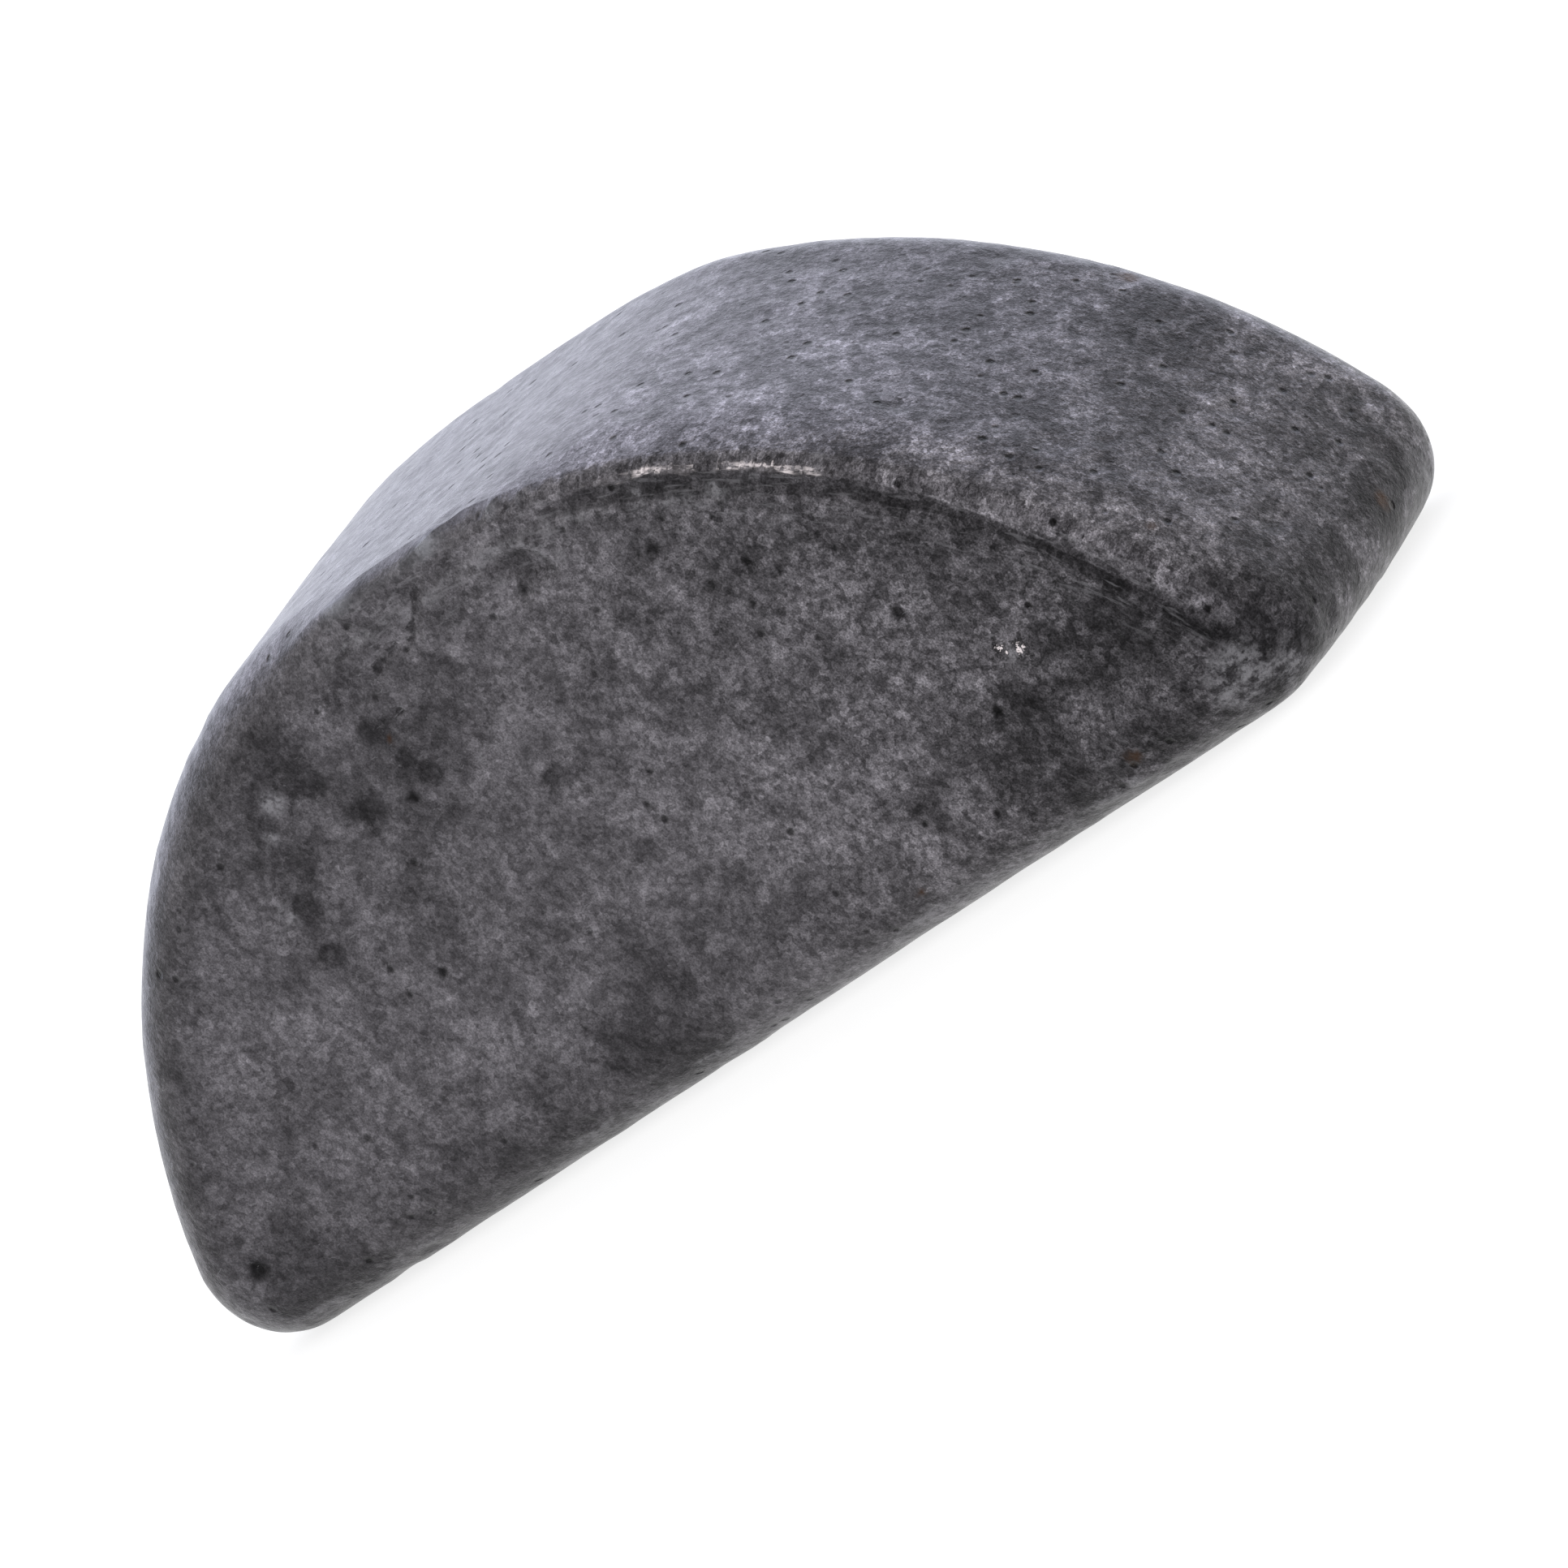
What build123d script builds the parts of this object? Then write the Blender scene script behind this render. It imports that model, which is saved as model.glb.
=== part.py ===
from build123d import *
import os

# A half-moon (Woodruff) key, size 4 x 5 for a 13 mm cutter, in tumbled steel.
# Millimetres. The origin is at the middle of the flat seat face, which lies on
# z = 0. X runs along the key, Y across its width and Z towards the round belly.

# ---------------------------------------------------------------- driving sizes
key_width = 4.0            # across the two side faces, the slot's width
cutter_diameter = 13.0     # of the disc that the key is a slice of
key_height = 5.0           # from the flat seat face to the flat on the belly
belly_flat_depth = 0.17    # how much the flat takes off the top of the disc

corner_radius = 0.90       # where the seat face turns into the belly
knee_radius = 2.5          # where the belly's flat turns into its curve
edge_radius = 0.62         # tumbled rounding round both side faces

# ---------------------------------------------------------------- worked out
cutter_radius = cutter_diameter / 2
disc_centre_z = key_height + belly_flat_depth - cutter_radius
seat_half_length = (cutter_radius**2 - disc_centre_z**2) ** 0.5
flat_half_length = (cutter_radius**2 - (cutter_radius - belly_flat_depth) ** 2) ** 0.5

os.makedirs("parts", exist_ok=True)

# ---------------------------------------------------------------- half_moon_key
# One solid: a flat-bellied segment of a disc, rounded on every edge.
with BuildPart() as half_moon_key:
    with BuildSketch(Plane.XZ.offset(-key_width / 2)) as profile:
        with BuildLine():
            seat_start = (-seat_half_length, 0)
            seat_end = (seat_half_length, 0)
            flat_start = (flat_half_length, key_height)
            flat_end = (-flat_half_length, key_height)
            Line(seat_start, seat_end)
            RadiusArc(seat_end, flat_start, -cutter_radius)
            Line(flat_start, flat_end)
            RadiusArc(flat_end, seat_start, -cutter_radius)
        make_face()
        seat_corners = profile.vertices().group_by(Axis.Y)[0]
        fillet(seat_corners, corner_radius)
        belly_knees = profile.vertices().group_by(Axis.Y)[-1]
        fillet(belly_knees, knee_radius)
    extrude(amount=key_width)

    side_faces = faces().filter_by(Axis.Y)
    fillet(side_faces.edges(), edge_radius)

half_moon_key.part.label = "half_moon_key"
export_step(half_moon_key.part, "parts/half_moon_key.step")

# ---------------------------------------------------------------- check values
box = half_moon_key.part.bounding_box()
print("length", round(box.size.X, 3), "width", round(box.size.Y, 3), "height", round(box.size.Z, 3))
print("lowest", round(box.min.Z, 4), "volume", round(half_moon_key.part.volume, 2), "mm3")
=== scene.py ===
from math import cos, radians, sin

import bpy
import numpy as np
from mathutils import Matrix, Vector


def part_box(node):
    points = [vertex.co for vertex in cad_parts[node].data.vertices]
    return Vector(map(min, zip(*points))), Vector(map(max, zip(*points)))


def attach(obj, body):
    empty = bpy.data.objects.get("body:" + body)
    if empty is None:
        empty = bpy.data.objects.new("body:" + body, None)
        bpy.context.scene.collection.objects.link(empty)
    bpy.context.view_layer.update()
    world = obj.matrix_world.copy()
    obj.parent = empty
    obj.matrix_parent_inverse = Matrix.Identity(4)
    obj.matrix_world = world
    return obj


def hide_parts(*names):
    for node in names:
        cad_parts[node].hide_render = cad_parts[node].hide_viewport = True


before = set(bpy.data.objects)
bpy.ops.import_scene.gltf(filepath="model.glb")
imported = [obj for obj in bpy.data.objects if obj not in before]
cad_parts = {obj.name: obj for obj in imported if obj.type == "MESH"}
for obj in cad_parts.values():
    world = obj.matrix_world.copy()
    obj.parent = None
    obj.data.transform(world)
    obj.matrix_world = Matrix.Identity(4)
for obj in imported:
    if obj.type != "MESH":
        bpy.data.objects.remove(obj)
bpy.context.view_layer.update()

MM = 0.001
NODE = "half_moon_key"

# ------------------------------------------------------------------ key's form
# The half-moon outline lies in XZ: a disc cut by the seat face at z = 0 and by
# a small flat on its belly. The width runs along Y. Lengths are in metres.
_, key_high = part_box(NODE)
HALF_WIDTH = key_high.y
HEIGHT = key_high.z
DISC_RADIUS = 6.5 * MM
FLAT_DEPTH = 0.17 * MM
DISC_Z = HEIGHT + FLAT_DEPTH - DISC_RADIUS
EDGE_RADIUS = 0.62 * MM
CORNER_RADIUS = 0.74 * MM
CORNER_WEAR = 0.34 * MM
KNEE_BLEND = 0.28 * MM

# The front arc's edge is peened. The rim tapers towards it, ends in a crisp lip,
# and behind the lip a shallow step is sunk into the face. At the belly flat the
# taper fades out and the edge is simply a small rounding.
RIDGE_START = radians(-9)
RIDGE_END = radians(69)
RIDGE_FADE_IN = 0.12     # radians to either side of RIDGE_START
RIDGE_FADE_OUT = 0.10    # radians to either side of RIDGE_END
RIDGE_INNER_RADIUS = 3.9 * MM
RIDGE_OUTER_RADIUS = 4.6 * MM
TAPER_START = radians(6)
TAPER_FULL = radians(20)
TAPER_DEPTH = 0.14 * MM
TAPER_REACH = 0.80 * MM
FLAT_LIP_RADIUS = 0.13 * MM
LIP_RADIUS = 0.12 * MM
LIP_BLEND = 0.015 * MM
STEP_DEPTH = 0.045 * MM
STEP_START = 0.30 * MM
STEP_END = 0.48 * MM
LIP_INSET = 0.185 * MM
LIP_DEPTH = 0.045 * MM

# The long dent under the lip: its middle, the direction it runs in and its size.
CRATER_X = 1.15 * MM
CRATER_Z = 4.38 * MM
CRATER_RUN = 0.85
CRATER_FALL = 0.52
CRATER_LENGTH = 0.30 * MM
CRATER_BREADTH = 0.13 * MM

VOXEL = 0.0485 * MM
PROJECTION_STEPS = 5

# Marks on the front face, in millimetres: x, z, radius, depth.
FRONT_PITS = [
    (3.7, 1.3, 0.05, 0.03), (2.8, 3.4, 0.06, 0.03), (2.4, 3.4, 0.06, 0.03), (2.6, 3.1, 0.04, 0.02),
    (1.0, 4.2, 0.07, 0.03), (3.0, 3.2, 0.04, 0.02), (3.6, 2.4, 0.05, 0.02), (-2.0, 2.0, 0.06, 0.03),
    (-5.3, 0.8, 0.09, 0.04), (2.2, 3.9, 0.05, 0.02), (-1.1, 3.3, 0.06, 0.02),
]
# Rust, blackened spots and pale scuffs, in millimetres: x, y, z, radius.
RUST = [
    (5.0, 1.5, 2.9, 0.09), (6.3, 0.6, 0.4, 0.10), (6.2, 0.3, 0.5, 0.07),
    (5.3, -2.0, 2.4, 0.06), (5.5, -2.0, 2.1, 0.05), (4.4, -2.0, 0.4, 0.07),
    (4.6, -1.9, 0.1, 0.06), (2.0, -2.0, 0.4, 0.06), (2.9, -1.9, 3.9, 0.05),
    (5.7, -1.6, 1.8, 0.07), (-0.9, -2.0, 3.8, 0.04),
]
SOOT = [
    (5.7, -1.9, 0.9, 0.10), (5.8, -1.8, 0.6, 0.12), (5.4, -2.0, 0.3, 0.08),
    (3.8, -1.9, 0.6, 0.10), (-1.8, -2.0, 3.9, 0.22), (-1.0, -2.0, 3.9, 0.18),
    (-2.3, -2.0, 3.4, 0.20), (-1.5, -2.0, 3.4, 0.22), (-1.8, -2.0, 3.9, 0.10),
    (-2.6, -2.0, 3.0, 0.16), (-0.8, -2.0, 3.4, 0.13), (-0.9, -2.0, 3.6, 0.10),
    (-2.3, -2.0, 3.4, 0.12), (-1.1, -2.0, 4.3, 0.10), (0.1, -2.0, 2.8, 0.12),
    (-2.7, -2.0, 2.6, 0.14), (5.0, -1.7, 2.9, 0.10), (5.5, -0.9, 2.3, 0.09),
    (6.0, -0.2, 1.2, 0.10), (2.5, -2.0, 1.0, 0.08),
]
STAINS = [
    (-0.9, -2.0, 3.9, 0.9), (-1.9, -2.0, 3.7, 0.8), (-1.5, -2.0, 3.1, 0.7),
    (-2.2, -2.0, 3.3, 0.6), (-0.6, -2.0, 0.7, 0.7), (0.6, -2.0, 0.9, 0.6),
    (2.6, -2.0, 0.6, 0.5), (-5.0, -2.0, 0.6, 0.5), (5.0, -2.0, 1.2, 0.6),
    (3.6, -2.0, 1.0, 0.5), (5.2, 1.2, 2.6, 0.6), (6.2, 0.5, 0.7, 0.9),
    (6.2, -1.2, 0.5, 0.9),
]
SCUFFS = [
    (4.2, -2.0, 1.6, 0.09), (6.2, -1.7, 0.7, 0.06), (5.6, -1.9, 0.4, 0.30),
    (5.9, -1.7, 0.2, 0.25), (3.9, -1.9, 3.8, 0.07), (1.4, -2.0, 4.4, 0.10),
    (-2.2, -2.0, 3.9, 0.08), (-2.4, -2.0, 3.7, 0.07), (-2.8, -2.0, 3.1, 0.09),
    (2.4, -2.0, 4.3, 0.10), (3.0, -2.0, 4.0, 0.10),
]
# Centres of the white chips, in millimetres: x, y, z.
CHIPS = [(4.25, -2.0, 1.62), (3.76, -1.9, 3.97), (4.12, -2.03, 1.70)]
# The crack near the left knee, as points of one line on the front face, in
# millimetres: x, z.
CRACK = [(0.2, 4.7), (0.0, 4.5), (-0.1, 4.4), (-0.4, 4.4), (-0.6, 4.3)]


def smooth_step(low, high, value):
    t = np.clip((value - low) / (high - low), 0, 1)
    return t * t * (3 - 2 * t)


def smooth_max(a, b, width):
    """The larger of a and b, rounded off where they are closer than width."""
    h = np.clip(0.5 + 0.5 * (a - b) / width, 0, 1)
    return b + (a - b) * h + width * h * (1 - h)


def value_noise(points, size, seed):
    """Smooth noise from -1 to 1 with bumps about size metres apart."""
    grid = points / size + 1000.0
    cell = np.floor(grid).astype(np.int64)
    part = grid - cell
    part = part * part * part * (part * (part * 6 - 15) + 10)

    def corner(dx, dy, dz):
        x, y, z = cell[:, 0] + dx, cell[:, 1] + dy, cell[:, 2] + dz
        n = (x * 374761393 + y * 668265263 + z * 2147483647 + seed * 1274126177) & 0xFFFFFFFF
        n = ((n ^ (n >> 13)) * 1274126177) & 0xFFFFFFFF
        n = ((n ^ (n >> 16)) * 2246822519) & 0xFFFFFFFF
        return ((n ^ (n >> 15)) & 0xFFFFFF) / float(0x7FFFFF) - 1.0

    total = 0.0
    for dx in (0, 1):
        for dy in (0, 1):
            for dz in (0, 1):
                weight = ((part[:, 0] if dx else 1 - part[:, 0])
                          * (part[:, 1] if dy else 1 - part[:, 1])
                          * (part[:, 2] if dz else 1 - part[:, 2]))
                total = total + weight * corner(dx, dy, dz)
    return total


def round_join(a, b, radius):
    """Distance to the part that is inside both a and b, with its edge rounded to radius."""
    inside = np.minimum(np.maximum(a, b) + radius, 0)
    return inside + np.hypot(np.maximum(a + radius, 0), np.maximum(b + radius, 0)) - radius


def ridge_amount(points):
    """1 along the peened front arc, falling to 0 at its ends and at the back."""
    x, y, z = points.T
    angle = np.arctan2(x, z - DISC_Z)
    start = smooth_step(RIDGE_START - RIDGE_FADE_IN, RIDGE_START + RIDGE_FADE_IN, angle)
    end = 1 - smooth_step(RIDGE_END - RIDGE_FADE_OUT, RIDGE_END + RIDGE_FADE_OUT, angle)
    arc = smooth_step(RIDGE_INNER_RADIUS, RIDGE_OUTER_RADIUS, np.hypot(x, z - DISC_Z))
    return start * end * arc * (y < 0)


def outline_distance(points):
    """Signed distance from the half-moon outline, its corners worn more towards the sides."""
    x, y, z = points.T
    disc = np.hypot(x, z - DISC_Z) - DISC_RADIUS
    belly = smooth_max(disc, z - HEIGHT, KNEE_BLEND)
    return round_join(belly, -z, CORNER_RADIUS + CORNER_WEAR * (y / HALF_WIDTH) ** 2)


def surface_distance(points):
    """Signed distance of points from the tumbled key's smooth surface."""
    x, y, z = points.T
    outline = outline_distance(points)
    side = np.abs(y) - HALF_WIDTH
    rounded = round_join(outline, side, EDGE_RADIUS)
    full = smooth_step(TAPER_START, TAPER_FULL, np.arctan2(x, z - DISC_Z))
    taper = TAPER_DEPTH * full * np.clip(1 + side / TAPER_REACH, 0, 1) ** 2
    step = STEP_DEPTH * (0.5 + 0.5 * full) * (1 - smooth_step(STEP_START, STEP_END, -outline))
    lip_radius = FLAT_LIP_RADIUS + (LIP_RADIUS - FLAT_LIP_RADIUS) * full
    lip = round_join(outline + taper, side, lip_radius)
    lip = smooth_max(lip, side + step, LIP_BLEND)
    return rounded + (lip - rounded) * ridge_amount(points)


def surface_normal(points):
    """Unit gradient of surface_distance."""
    step = 0.004 * MM
    slopes = []
    for axis in range(3):
        shift = np.zeros(3)
        shift[axis] = step
        slopes.append(surface_distance(points + shift) - surface_distance(points - shift))
    slopes = np.array(slopes).T
    return slopes / np.linalg.norm(slopes, axis=1)[:, None]


def distance_to_chips(points):
    """Distance of points from the nearest white chip's centre."""
    centres = np.array(CHIPS) * MM
    return np.min([np.linalg.norm(points - centre, axis=1) for centre in centres], axis=0)


def distance_to_line(points, line):
    """Distance of points from a polyline on the front face, seen along Y."""
    flat = points[:, [0, 2]]
    best = np.full(len(points), 1.0)
    for start, end in zip(line[:-1], line[1:]):
        start, end = np.array(start) * MM, np.array(end) * MM
        along = np.clip((flat - start) @ (end - start) / ((end - start) @ (end - start)), 0, 1)
        away = flat - start - along[:, None] * (end - start)
        best = np.minimum(best, np.linalg.norm(away, axis=1))
    return best


def crater_distance(points):
    """Distance from the long dent under the lip, 1 at its border."""
    x, y, z = points.T
    along = ((x - CRATER_X) * CRATER_RUN - (z - CRATER_Z) * CRATER_FALL) / CRATER_LENGTH
    across = ((x - CRATER_X) * CRATER_FALL + (z - CRATER_Z) * CRATER_RUN) / CRATER_BREADTH
    return np.hypot(along, across)


def spots(points, marks, seed):
    """0 to 1, high inside ragged spots (x, y, z, radius in millimetres)."""
    ragged = 1 + 0.35 * value_noise(points, 0.12 * MM, seed)
    ragged = ragged + 0.25 * value_noise(points, 0.30 * MM, seed + 1)
    total = np.zeros(len(points))
    for x, y, z, radius in marks:
        away = np.linalg.norm(points - np.array((x, y, z)) * MM, axis=1)
        total = np.maximum(total, 1 - smooth_step(0.5, 1.3, away * ragged / (radius * MM)))
    return total


def relief(points, normal):
    """Height of the worn surface over the smooth one, in metres."""
    x, y, z = points.T
    height = 0.006 * value_noise(points, 1.6 * MM, 1) + 0.004 * value_noise(points, 0.5 * MM, 2)
    height += 0.003 * value_noise(points, 0.2 * MM, 3)
    front = (normal[:, 1] < -0.5) & (y < 0)

    # Small random dents all round.
    chance = np.random.default_rng(7)
    for _ in range(150):
        centre = points[chance.integers(len(points))]
        radius = chance.uniform(0.07, 0.20)
        depth = chance.uniform(0.006, 0.016)
        away = np.linalg.norm(points - centre, axis=1) / (radius * MM)
        height -= depth * np.exp(-(away ** 2) * 2.2)
        height += 0.25 * depth * np.exp(-((away - 1.25) ** 2) * 9)

    for px, pz, radius, depth in FRONT_PITS:
        away = np.hypot(x - px * MM, z - pz * MM) / (radius * MM)
        height -= front * depth * np.exp(-(away ** 2) * 1.2)

    away = crater_distance(points)
    height -= front * 0.045 * np.exp(-(away ** 4))
    height += front * 0.014 * np.exp(-((away - 1.25) ** 2) * 12)

    crack = distance_to_line(points, CRACK)
    height -= front * 0.03 * np.exp(-((crack / (0.05 * MM)) ** 2))
    return height * MM


def paint(mesh, name, values):
    """Store one value per vertex under a name that the steel can read."""
    layer = mesh.attributes.new(name, "FLOAT", "POINT")
    layer.data.foreach_set("value", values.astype(np.float32))


def make_key():
    """The key as one dense closed mesh that lies on the worn surface, with its wear, painted shade
    and painted highlights painted on.
    """
    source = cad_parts[NODE]
    mesh = source.data.copy()
    mesh.materials.clear()
    key = bpy.data.objects.new("half_moon_key_steel", mesh)
    bpy.context.scene.collection.objects.link(key)
    remesh = key.modifiers.new("even_grid", "REMESH")
    remesh.mode = "VOXEL"
    remesh.voxel_size = VOXEL
    depsgraph = bpy.context.evaluated_depsgraph_get()
    dense = bpy.data.meshes.new_from_object(key.evaluated_get(depsgraph))
    key.modifiers.clear()
    key.data = dense
    dense.name = "half_moon_key_steel"
    bpy.data.meshes.remove(mesh)

    co = np.zeros(len(dense.vertices) * 3, np.float32)
    dense.vertices.foreach_get("co", co)
    points = co.reshape(-1, 3).astype(np.float64)
    for _ in range(PROJECTION_STEPS):
        points -= surface_normal(points) * surface_distance(points)[:, None]
    normal = surface_normal(points)

    x, y, z = points.T
    angle = np.degrees(np.arctan2(x, z - DISC_Z))
    inset = -outline_distance(points) / MM
    depth = (HALF_WIDTH - np.abs(y)) / MM
    ridge = ridge_amount(points)
    ragged = value_noise(points, 0.30 * MM, 23) * 0.6 + value_noise(points, 0.10 * MM, 24) * 0.5

    # Burnished lip with painted highlights: a painted sheen line on the left, painted glints in
    # patches over the crown.
    sparkle = smooth_step(18, 23, angle) * (1 - smooth_step(35, 41, angle))
    sparkle *= smooth_step(-0.4, 0.3, ragged)
    paint(dense, "sparkle", ridge * sparkle)
    paint(dense, "chip_distance", distance_to_chips(points))
    from_flat_lip = np.hypot(inset - 0.03, depth - 0.06)
    sheen = np.exp(-(from_flat_lip / 0.05) ** 2) * ridge * (1 - smooth_step(9, 20, angle))
    paint(dense, "sheen", sheen)
    # Painted highlight: the rounding behind the lip and a strip of the rim are painted lighter.
    painted_highlight = ridge * (1 - smooth_step(0.24, 0.34, inset)) * (1 - smooth_step(0.35, 0.6, depth))
    painted_highlight *= 0.4 * smooth_step(22, 28, angle) + 0.6 * smooth_step(38, 46, angle)
    rim_painted_highlight = 0.45 * (y < 0) * (inset < 0.2) * (1 - smooth_step(0.8, 1.6, depth))
    rim_painted_highlight *= smooth_step(12, 18, angle) * (1 - smooth_step(30, 40, angle))
    paint(dense, "painted_highlight", np.maximum(painted_highlight, rim_painted_highlight))
    wisp = ridge * smooth_step(0.08, 0.16, inset) * (1 - smooth_step(0.5, 0.9, inset))
    paint(dense, "wisp", wisp)
    paint(dense, "belly", smooth_step(0.95, 0.995, normal[:, 2]))

    # Painted shade with oxide in the groove, painted shade on the rim above the sparkle and behind
    # the groove, blackened spots, a darker long dent, the dark crack and the pits.
    centre = 0.31 + 0.10 * smooth_step(44, 60, angle) + 0.02 * ragged
    width = 0.10 - 0.045 * smooth_step(36, 50, angle)
    groove = np.exp(-((inset - centre) / width) ** 4) * (depth < 0.3) * ridge
    groove *= smooth_step(6, 26, angle) * (0.9 + 0.5 * ragged)
    # Painted shade: a darker strip on the rim above the sparkle.
    above = np.exp(-((depth - 0.17) / 0.08) ** 2) * (inset < 0.14) * ridge
    above *= smooth_step(24, 28, angle) * (1 - smooth_step(39, 45, angle))
    # Painted shade: a darker band on the face behind the groove.
    behind = np.exp(-((inset - centre - 0.14) / 0.08) ** 2) * (depth < 0.2) * ridge
    behind *= smooth_step(28, 36, angle)
    on_face = (y < 0) & (depth < 0.16)
    crack = np.where(y < 0, distance_to_line(points, CRACK), 1.0)
    paint(dense, "crack_distance", crack)
    paint(dense, "groove", groove)
    crater = crater_distance(points)
    soot_and_shade = np.maximum(spots(points, SOOT, 31), np.maximum(above * 0.2, behind * 0.5))
    soot_and_shade = np.maximum(soot_and_shade, on_face * np.exp(-(crater + 0.3 * ragged) ** 4))
    paint(dense, "soot_and_shade", soot_and_shade)
    pits = np.zeros(len(points))
    for px, pz, radius, _ in FRONT_PITS:
        away = np.hypot(x - px * MM, z - pz * MM) / (radius * MM) * (1 + 0.5 * ragged)
        pits = np.maximum(pits, np.exp(-(away ** 4)))
    paint(dense, "pits", on_face * pits)
    cloudy = 0.6 + 0.5 * value_noise(points, 0.7 * MM, 35) + 0.4 * value_noise(points, 0.3 * MM, 36)
    face = (y < 0) * (1 - smooth_step(0.25, 0.60, depth))
    # Painted shade: darker towards the right, at the low right, on the left rim, under the lip and
    # along the far edge.
    painted_shade = 0.30 * smooth_step(1.5 * MM, 4.2 * MM, x) * face
    low_right = smooth_step(1.5 * MM, 3.5 * MM, x) * (1 - smooth_step(0.4 * MM, 1.6 * MM, z))
    painted_shade += 0.35 * low_right * face
    left_rim = (1 - smooth_step(0.3, 1.2, inset)) * (1 - smooth_step(-26, -13, angle))
    painted_shade += 0.6 * (y < 0) * (1 - smooth_step(0.5, 1.5, depth)) * left_rim
    under_lip = smooth_step(8, 16, angle) * (1 - smooth_step(40, 52, angle))
    painted_shade += 0.35 * face * under_lip * np.exp(-((inset - 0.75) / 0.35) ** 2)
    far_edge = smooth_step(0.3 * MM, 1.2 * MM, y) * smooth_step(2.4 * MM, 3.4 * MM, x)
    far_edge = far_edge * (1 - smooth_step(4.2 * MM, 5.0 * MM, x))
    painted_shade += 0.5 * far_edge
    paint(dense, "stain_and_shade", np.clip(spots(points, STAINS, 33) * cloudy + painted_shade, 0, 1))
    paint(dense, "rust", spots(points, RUST, 41))

    # The pale crease where the groove runs out on the face, and single scuffs.
    bend = 0.40 + 0.05 * smooth_step(14, 22, angle)
    crease = (1 - smooth_step(26, 34, angle)) * (depth < 0.1) * ridge
    crease *= np.exp(-((inset - bend + 0.05 * ragged) / 0.04) ** 2)
    broken = value_noise(points, 0.35 * MM, 51) + 0.5 * value_noise(points, 0.12 * MM, 52)
    crease *= smooth_step(-0.6, 0.2, broken)
    seat_edge = np.exp(-((y + HALF_WIDTH - 0.12 * MM) / (0.16 * MM)) ** 2) * (z < 0.25 * MM)
    broken = value_noise(points, 0.5 * MM, 54) + 0.6 * value_noise(points, 0.12 * MM, 55)
    seat_edge *= smooth_step(-0.1, 0.5, broken)
    above_crater = 0.5 * np.exp(-((crater - 1.35) * 4) ** 2) * on_face * (z + 0.6 * x > 5.07 * MM)
    scuff = np.maximum(spots(points, SCUFFS, 53), crease)
    scuff = np.maximum(scuff, np.maximum(0.7 * seat_edge, above_crater))
    paint(dense, "scuff", scuff)

    points += normal * relief(points, normal)[:, None]
    dense.vertices.foreach_set("co", points.astype(np.float32).ravel())
    dense.polygons.foreach_set("use_smooth", np.ones(len(dense.polygons), bool))
    dense.update()
    return key


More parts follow.
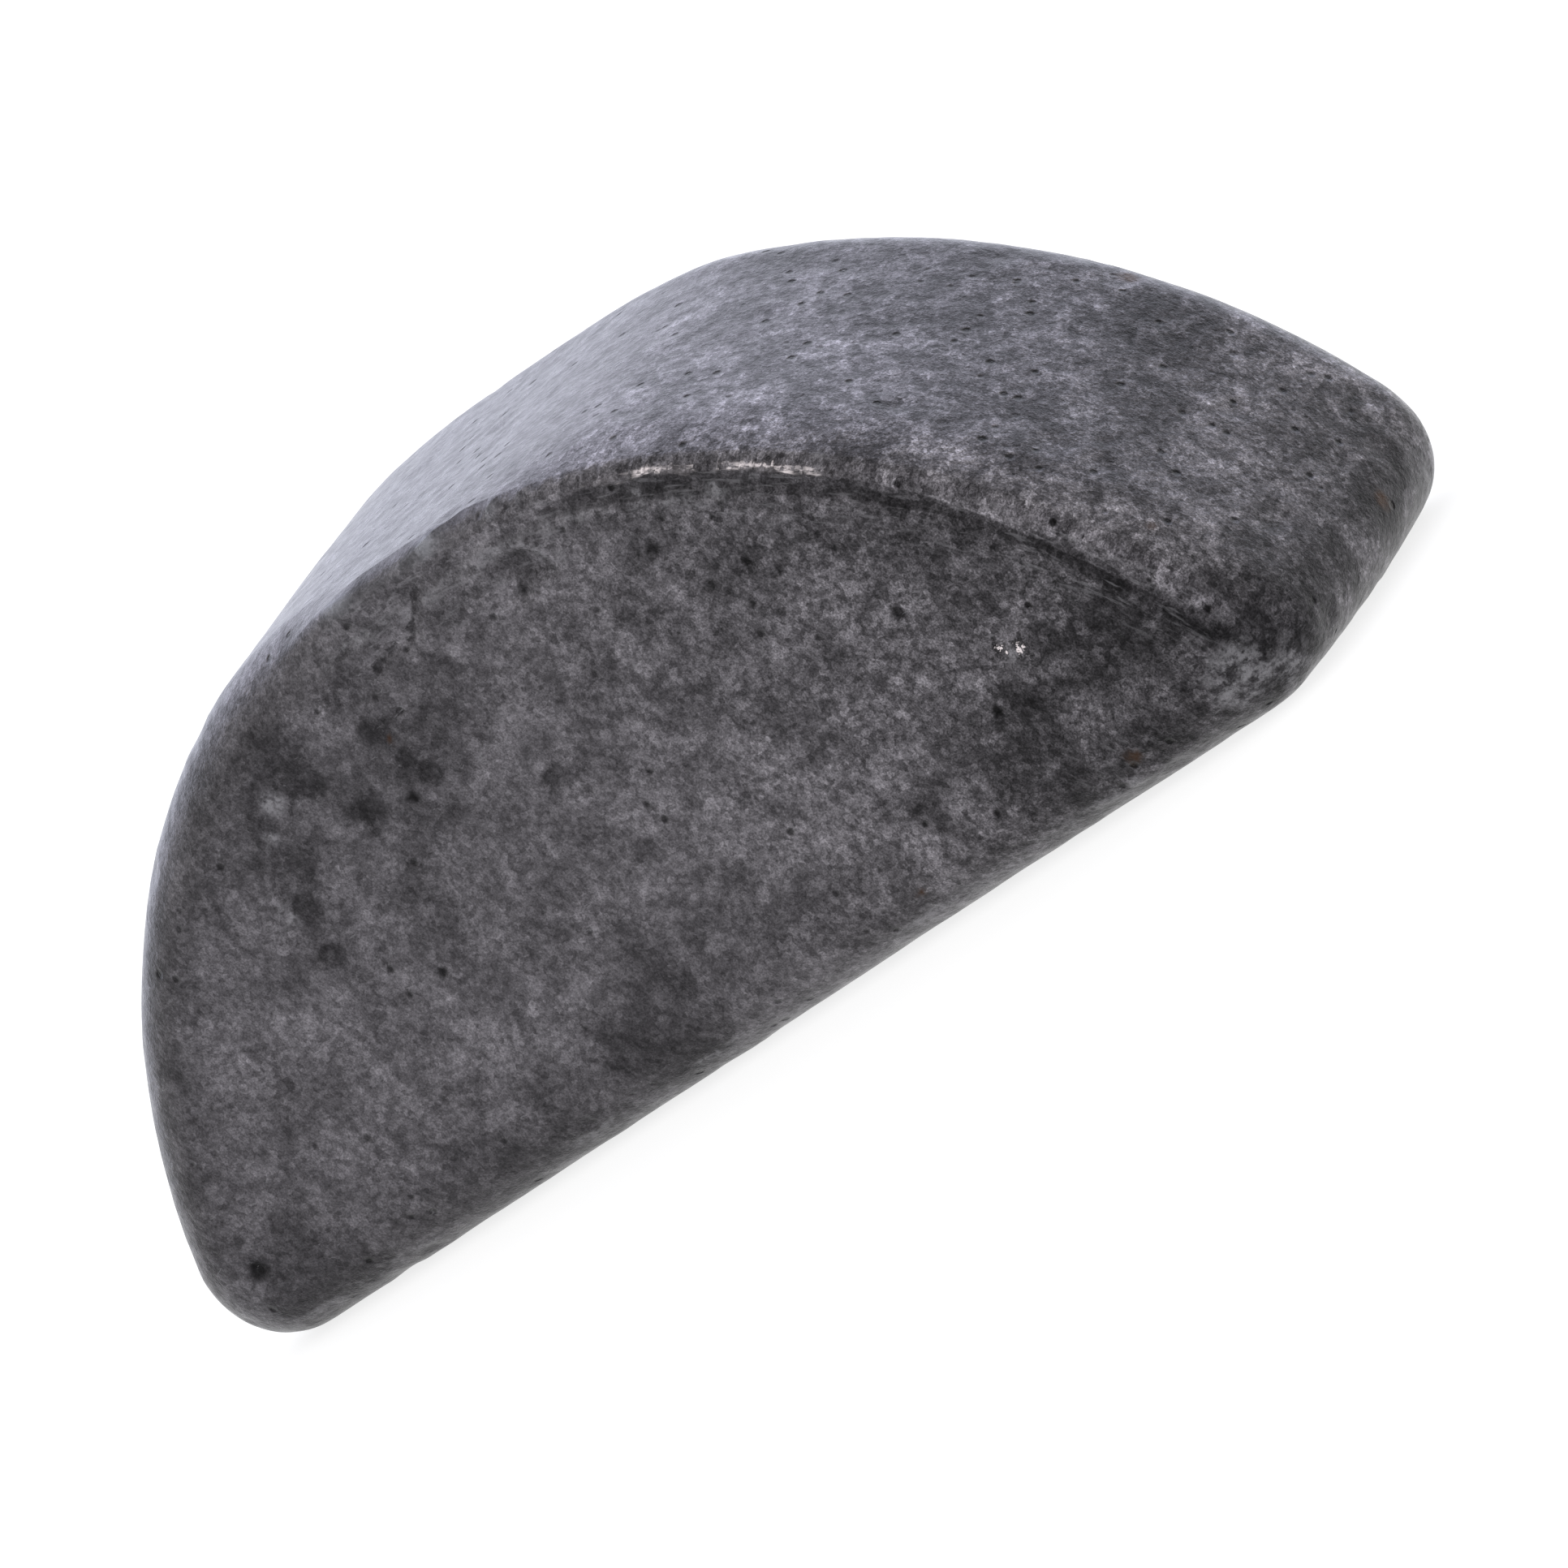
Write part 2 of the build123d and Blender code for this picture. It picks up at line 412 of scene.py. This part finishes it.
# ------------------------------------------------------------------ steel
class Tree:
    """Short names for the node calls that the steel needs."""

    def __init__(self, material):
        self.nodes, self.links = material.node_tree.nodes, material.node_tree.links
        self.place = self.nodes.new("ShaderNodeTexCoord").outputs["Object"]

    def put(self, socket, value):
        if isinstance(value, bpy.types.NodeSocket):
            self.links.new(value, socket)
        else:
            socket.default_value = value

    def noise(self, size, detail=3.0, roughness=0.6, twist=0.0, stretch=None, place=None):
        node = self.nodes.new("ShaderNodeTexNoise")
        node.inputs["Scale"].default_value = 1 / size
        node.inputs["Detail"].default_value = detail
        node.inputs["Roughness"].default_value = roughness
        node.inputs["Distortion"].default_value = twist
        place = place or self.place
        if stretch:
            scaled = self.nodes.new("ShaderNodeMapping")
            scaled.inputs["Scale"].default_value = stretch
            self.links.new(place, scaled.inputs["Vector"])
            place = scaled.outputs["Vector"]
        self.links.new(place, node.inputs["Vector"])
        return node.outputs["Fac"]

    def cells(self, size, ragged=0.0):
        node = self.nodes.new("ShaderNodeTexVoronoi")
        node.inputs["Scale"].default_value = 1 / size
        place = self.place
        if ragged:
            shift = self.nodes.new("ShaderNodeTexNoise")
            shift.inputs["Scale"].default_value = 1.5 / size
            self.links.new(place, shift.inputs["Vector"])
            moved = self.nodes.new("ShaderNodeVectorMath")
            moved.operation = "MULTIPLY_ADD"
            self.links.new(shift.outputs["Color"], moved.inputs[0])
            moved.inputs[1].default_value = (ragged * 2,) * 3
            self.links.new(place, moved.inputs[2])
            place = moved.outputs["Vector"]
        self.links.new(place, node.inputs["Vector"])
        return node.outputs["Distance"], node.outputs["Color"]

    def fit(self, value, low, high, to_low, to_high):
        node = self.nodes.new("ShaderNodeMapRange")
        node.interpolation_type = "SMOOTHSTEP"
        for socket, number in zip(node.inputs, (value, low, high, to_low, to_high)):
            self.put(socket, number)
        return node.outputs["Result"]

    def math(self, operation, a, b):
        node = self.nodes.new("ShaderNodeMath")
        node.operation = operation
        self.put(node.inputs[0], a)
        self.put(node.inputs[1], b)
        return node.outputs["Value"]

    def times(self, *values):
        total = values[0]
        for value in values[1:]:
            total = self.math("MULTIPLY", total, value)
        return total

    def lip_place(self):
        """Position beside the crisp line of the lip: along the arc, inwards, into the width."""
        split = self.nodes.new("ShaderNodeSeparateXYZ")
        self.links.new(self.place, split.inputs[0])
        x, y = split.outputs["X"], split.outputs["Y"]
        z = self.math("SUBTRACT", split.outputs["Z"], DISC_Z)
        along = self.times(self.math("ARCTAN2", x, z), DISC_RADIUS)
        reach = self.math("SQRT", self.math("ADD", self.times(x, x), self.times(z, z)), 0.0)
        across = self.math("SUBTRACT", reach, DISC_RADIUS - LIP_INSET)
        return along, across, self.math("SUBTRACT", y, LIP_DEPTH - HALF_WIDTH)

    def painted(self, name):
        node = self.nodes.new("ShaderNodeAttribute")
        node.attribute_name = name
        return node.outputs["Fac"]

    def mix(self, amount, a, b):
        node = self.nodes.new("ShaderNodeMix")
        node.data_type = "RGBA"
        self.put(node.inputs["Factor"], amount)
        self.put(node.inputs[6], a)
        self.put(node.inputs[7], b)
        return node.outputs[2]

    def gray(self, value, tint):
        node = self.nodes.new("ShaderNodeVectorMath")
        node.operation = "SCALE"
        node.inputs[0].default_value = tint
        self.put(node.inputs["Scale"], value)
        return node.outputs["Vector"]


def steel_material():
    """Dull mottled steel, with the painted wear, dirt, painted shade, painted highlights and
    painted glints over it.
    """
    material = bpy.data.materials.new("tumbled_steel")
    material.use_nodes = True
    shader = material.node_tree.nodes["Principled BSDF"]
    t = Tree(material)

    clouds = t.noise(1.9 * MM, 2, 0.5)
    patches = t.noise(0.50 * MM, 3, 0.6)
    mottle = t.noise(0.15 * MM, 4, 0.7)
    grain = t.noise(0.045 * MM, 3, 0.75)
    fine = t.noise(0.018 * MM, 2, 0.7)
    crystal = t.cells(0.048 * MM, 0.02 * MM)[1]
    flake = t.cells(0.12 * MM, 0.05 * MM)[1]
    tone = t.times(
        t.fit(clouds, 0.25, 0.75, 0.84, 1.16),
        t.fit(patches, 0.28, 0.72, 0.72, 1.28),
        t.fit(mottle, 0.30, 0.70, 0.76, 1.24),
        t.fit(grain, 0.30, 0.70, 0.80, 1.20),
        t.fit(fine, 0.32, 0.68, 0.70, 1.30),
        t.fit(crystal, 0.1, 0.9, 0.74, 1.26),
        t.fit(flake, 0.1, 0.9, 0.84, 1.16),
    )
    distance, chance = t.cells(0.21 * MM)
    picked = t.fit(chance, 0.48, 0.62, 0, 1)
    speck = t.times(picked, t.fit(distance, 0.08, 0.24, 1, 0))
    tone = t.times(tone, t.fit(speck, 0, 1, 1, 0.30))
    # Real stains and painted shade darken the tone.
    tone = t.times(tone, t.fit(t.painted("stain_and_shade"), 0, 1, 1, 0.52))
    split = t.nodes.new("ShaderNodeSeparateXYZ")
    t.put(split.inputs[0], t.place)
    along = split.outputs["X"]
    contrast = t.fit(along, -0.5 * MM, 5.0 * MM, 0.97, 1.62)
    contrast = t.times(contrast, t.fit(t.painted("belly"), 0, 1, 1, 0.6))
    tone = t.math("POWER", tone, contrast)
    # Painted highlight: lightens the tone up to 1.9 times.
    tone = t.times(tone, t.fit(t.painted("painted_highlight"), 0, 1, 1, 1.9))
    # Painted shade: darker towards the right end.
    tone = t.times(tone, t.fit(along, 1.0 * MM, 5.0 * MM, 1, 0.90))
    # Blackened spots, with painted shade above the lip and behind the groove, and a darker long
    # dent.
    soot_and_shade = t.times(t.painted("soot_and_shade"), t.fit(mottle, 0.3, 0.65, 1.15, 0.7))
    tone = t.times(tone, t.fit(soot_and_shade, 0, 1, 1, 0.45))
    # Painted shade and oxide darken the groove behind the lip.
    groove = t.fit(t.math("ADD", t.painted("groove"), t.times(mottle, 0.7)), 0.62, 0.92, 0, 1)
    groove = t.times(groove, t.fit(grain, 0.35, 0.65, 0.7, 1.1))
    tone = t.times(tone, t.fit(groove, 0, 1, 1, 0.45))
    tone = t.times(tone, t.fit(t.painted("pits"), 0, 1, 1, 0.12))
    crack = t.fit(mottle, 0.3, 0.7, -0.03 * MM, 0.03 * MM)
    crack = t.math("ADD", t.painted("crack_distance"), crack)
    tone = t.times(tone, t.fit(crack, 0.008 * MM, 0.04 * MM, 0.4, 1))
    chip = t.fit(grain, 0.3, 0.7, -0.045 * MM, 0.045 * MM)
    chip = t.math("ADD", t.painted("chip_distance"), chip)
    tone = t.times(tone, t.fit(chip, 0.06 * MM, 0.11 * MM, 0.45, 1))
    along_lip, across, deep = t.lip_place()
    streak_place = t.nodes.new("ShaderNodeCombineXYZ")
    for socket, value in zip(streak_place.inputs, (t.times(along_lip, 0.16), across, deep)):
        t.put(socket, value)
    streak = t.noise(0.05 * MM, 3, 0.65, place=streak_place.outputs["Vector"])
    scratch = t.noise(0.10 * MM, 2, 0.5, 1.2, (1.0, 1.0, 2.6))
    fleck = t.times(t.fit(scratch, 0.64, 0.72, 0, 1), t.fit(patches, 0.45, 0.6, 0, 1))
    scuff = t.times(t.painted("scuff"), t.fit(grain, 0.35, 0.6, 0.3, 1))
    scuff = t.times(scuff, t.fit(mottle, 0.40, 0.58, 0.1, 1))
    wisp = t.times(t.painted("wisp"), t.fit(streak, 0.54, 0.68, 0, 0.4))
    pale = t.math("MAXIMUM", t.math("MAXIMUM", t.times(fleck, 0.45), scuff), wisp)

    steel = t.gray(t.times(tone, 0.092), (1.000, 0.945, 1.030))
    color = t.mix(t.times(pale, 0.8), steel, (0.22, 0.215, 0.23, 1))
    rust = t.times(t.painted("rust"), t.fit(mottle, 0.35, 0.55, 0.5, 1.2))
    color = t.mix(rust, color, (0.040, 0.022, 0.014, 1))
    # Painted sheen on the burnished lip at the left.
    sheen = t.times(t.painted("sheen"), t.fit(mottle, 0.3, 0.6, 0.2, 0.65))
    color = t.mix(sheen, color, (0.39, 0.40, 0.44, 1))
    # Painted glints: a thin streaky bright line along the burnished lip, mixed with the real white
    # chips.
    across = t.math("ADD", across, t.fit(patches, 0.3, 0.7, -0.03 * MM, 0.03 * MM))
    lip = t.math("SQRT", t.math("ADD", t.times(across, across), t.times(deep, deep)), 0.0)
    line = t.fit(lip, 0.025 * MM, 0.055 * MM, 1, 0)
    shine = t.times(t.painted("sparkle"), line, t.fit(streak, 0.49, 0.63, 0.05, 0.95))
    chips = t.times(t.fit(chip, 0.030 * MM, 0.042 * MM, 1, 0), 0.8)
    color = t.mix(t.math("MAXIMUM", shine, chips), color, (0.88, 0.80, 0.81, 1))
    t.put(shader.inputs["Base Color"], color)

    shader.inputs["Metallic"].default_value = 0.9
    roughness = t.fit(mottle, 0.3, 0.7, 0.36, 0.26)
    t.put(shader.inputs["Roughness"], roughness)

    height = t.math("ADD", mottle, t.times(grain, 0.35))
    height = t.math("ADD", height, t.times(speck, -0.8))
    bump = t.nodes.new("ShaderNodeBump")
    bump.inputs["Strength"].default_value = 0.8
    bump.inputs["Distance"].default_value = 0.02 * MM
    t.put(bump.inputs["Height"], height)
    t.put(shader.inputs["Normal"], bump.outputs["Normal"])
    return material


key = make_key()
key.data.materials.append(steel_material())
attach(key, "root")
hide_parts(NODE)


# ------------------------------------------------------------------ studio
def make_floor():
    """A glowing white floor under the key."""
    half = 2.0
    mesh = bpy.data.meshes.new("floor")
    corners = [(-half, -half, 0), (half, -half, 0), (half, half, 0), (-half, half, 0)]
    mesh.from_pydata(corners, [], [(0, 1, 2, 3)])
    floor = bpy.data.objects.new("floor", mesh)
    bpy.context.scene.collection.objects.link(floor)
    material = bpy.data.materials.new("floor_white")
    material.use_nodes = True
    shader = material.node_tree.nodes["Principled BSDF"]
    shader.inputs["Base Color"].default_value = (0.3, 0.3, 0.3, 1)
    shader.inputs["Roughness"].default_value = 0.8
    shader.inputs["Specular IOR Level"].default_value = 0.1
    shader.inputs["Emission Color"].default_value = (1, 1, 1, 1)
    shader.inputs["Emission Strength"].default_value = 0.8
    mesh.materials.append(material)


def make_world():
    """A pale dome, brighter and bluer up and behind, slightly darker in front."""
    world = bpy.data.worlds.new("dome")
    bpy.context.scene.world = world
    world.use_nodes = True
    nodes, links = world.node_tree.nodes, world.node_tree.links
    nodes.clear()
    out = nodes.new("ShaderNodeOutputWorld")
    place = nodes.new("ShaderNodeTexCoord").outputs["Generated"]

    def glow(direction, stops):
        dot = nodes.new("ShaderNodeVectorMath")
        dot.operation = "DOT_PRODUCT"
        dot.inputs[1].default_value = direction
        links.new(place, dot.inputs[0])
        ramp = nodes.new("ShaderNodeValToRGB")
        ramp.color_ramp.interpolation = "EASE"
        for element, (position, color) in zip(ramp.color_ramp.elements, stops):
            element.position = position
            element.color = (*color, 1)
        links.new(dot.outputs["Value"], ramp.inputs["Fac"])
        return ramp.outputs["Color"]

    sky = glow((-0.44, 0.76, 0.48), [(0.50, (1.0, 1.0, 1.0)), (0.90, (1.56, 1.61, 1.84))])
    shade = glow((0.57, -0.80, 0.18), [(0.62, (1.0, 1.0, 1.0)), (0.95, (0.90, 0.89, 0.91))])
    both = nodes.new("ShaderNodeVectorMath")
    both.operation = "MULTIPLY"
    links.new(sky, both.inputs[0])
    links.new(shade, both.inputs[1])
    dome = nodes.new("ShaderNodeBackground")
    links.new(both.outputs["Vector"], dome.inputs["Color"])
    seen = nodes.new("ShaderNodeBackground")
    seen.inputs["Color"].default_value = (1, 1, 1, 1)
    path = nodes.new("ShaderNodeLightPath")
    mix = nodes.new("ShaderNodeMixShader")
    links.new(path.outputs["Is Camera Ray"], mix.inputs["Fac"])
    links.new(dome.outputs["Background"], mix.inputs[1])
    links.new(seen.outputs["Background"], mix.inputs[2])
    links.new(mix.outputs["Shader"], out.inputs["Surface"])


# ------------------------------------------------------------------ camera
AZIMUTH = radians(35.17)
ELEVATION = radians(10.16)
ROLL = radians(-40.43)
DISTANCE = 180.5 * MM
LENS = 522.5
AIM = Vector((0.33, -0.04, 1.325)) * MM

back = Vector((sin(AZIMUTH) * cos(ELEVATION), -cos(AZIMUTH) * cos(ELEVATION), sin(ELEVATION)))
camera = bpy.data.objects.new("camera", bpy.data.cameras.new("camera"))
bpy.context.scene.collection.objects.link(camera)
upright = back.to_track_quat("Z", "Y").to_matrix()
turned = upright @ Matrix.Rotation(ROLL, 3, "Z")
camera.matrix_world = Matrix.Translation(AIM + back * DISTANCE) @ turned.to_4x4()
camera.data.lens = LENS
camera.data.clip_start = 0.01
camera.data.clip_end = 10
bpy.context.scene.camera = camera

make_floor()
make_world()
bpy.context.scene.view_settings.view_transform = "Standard"
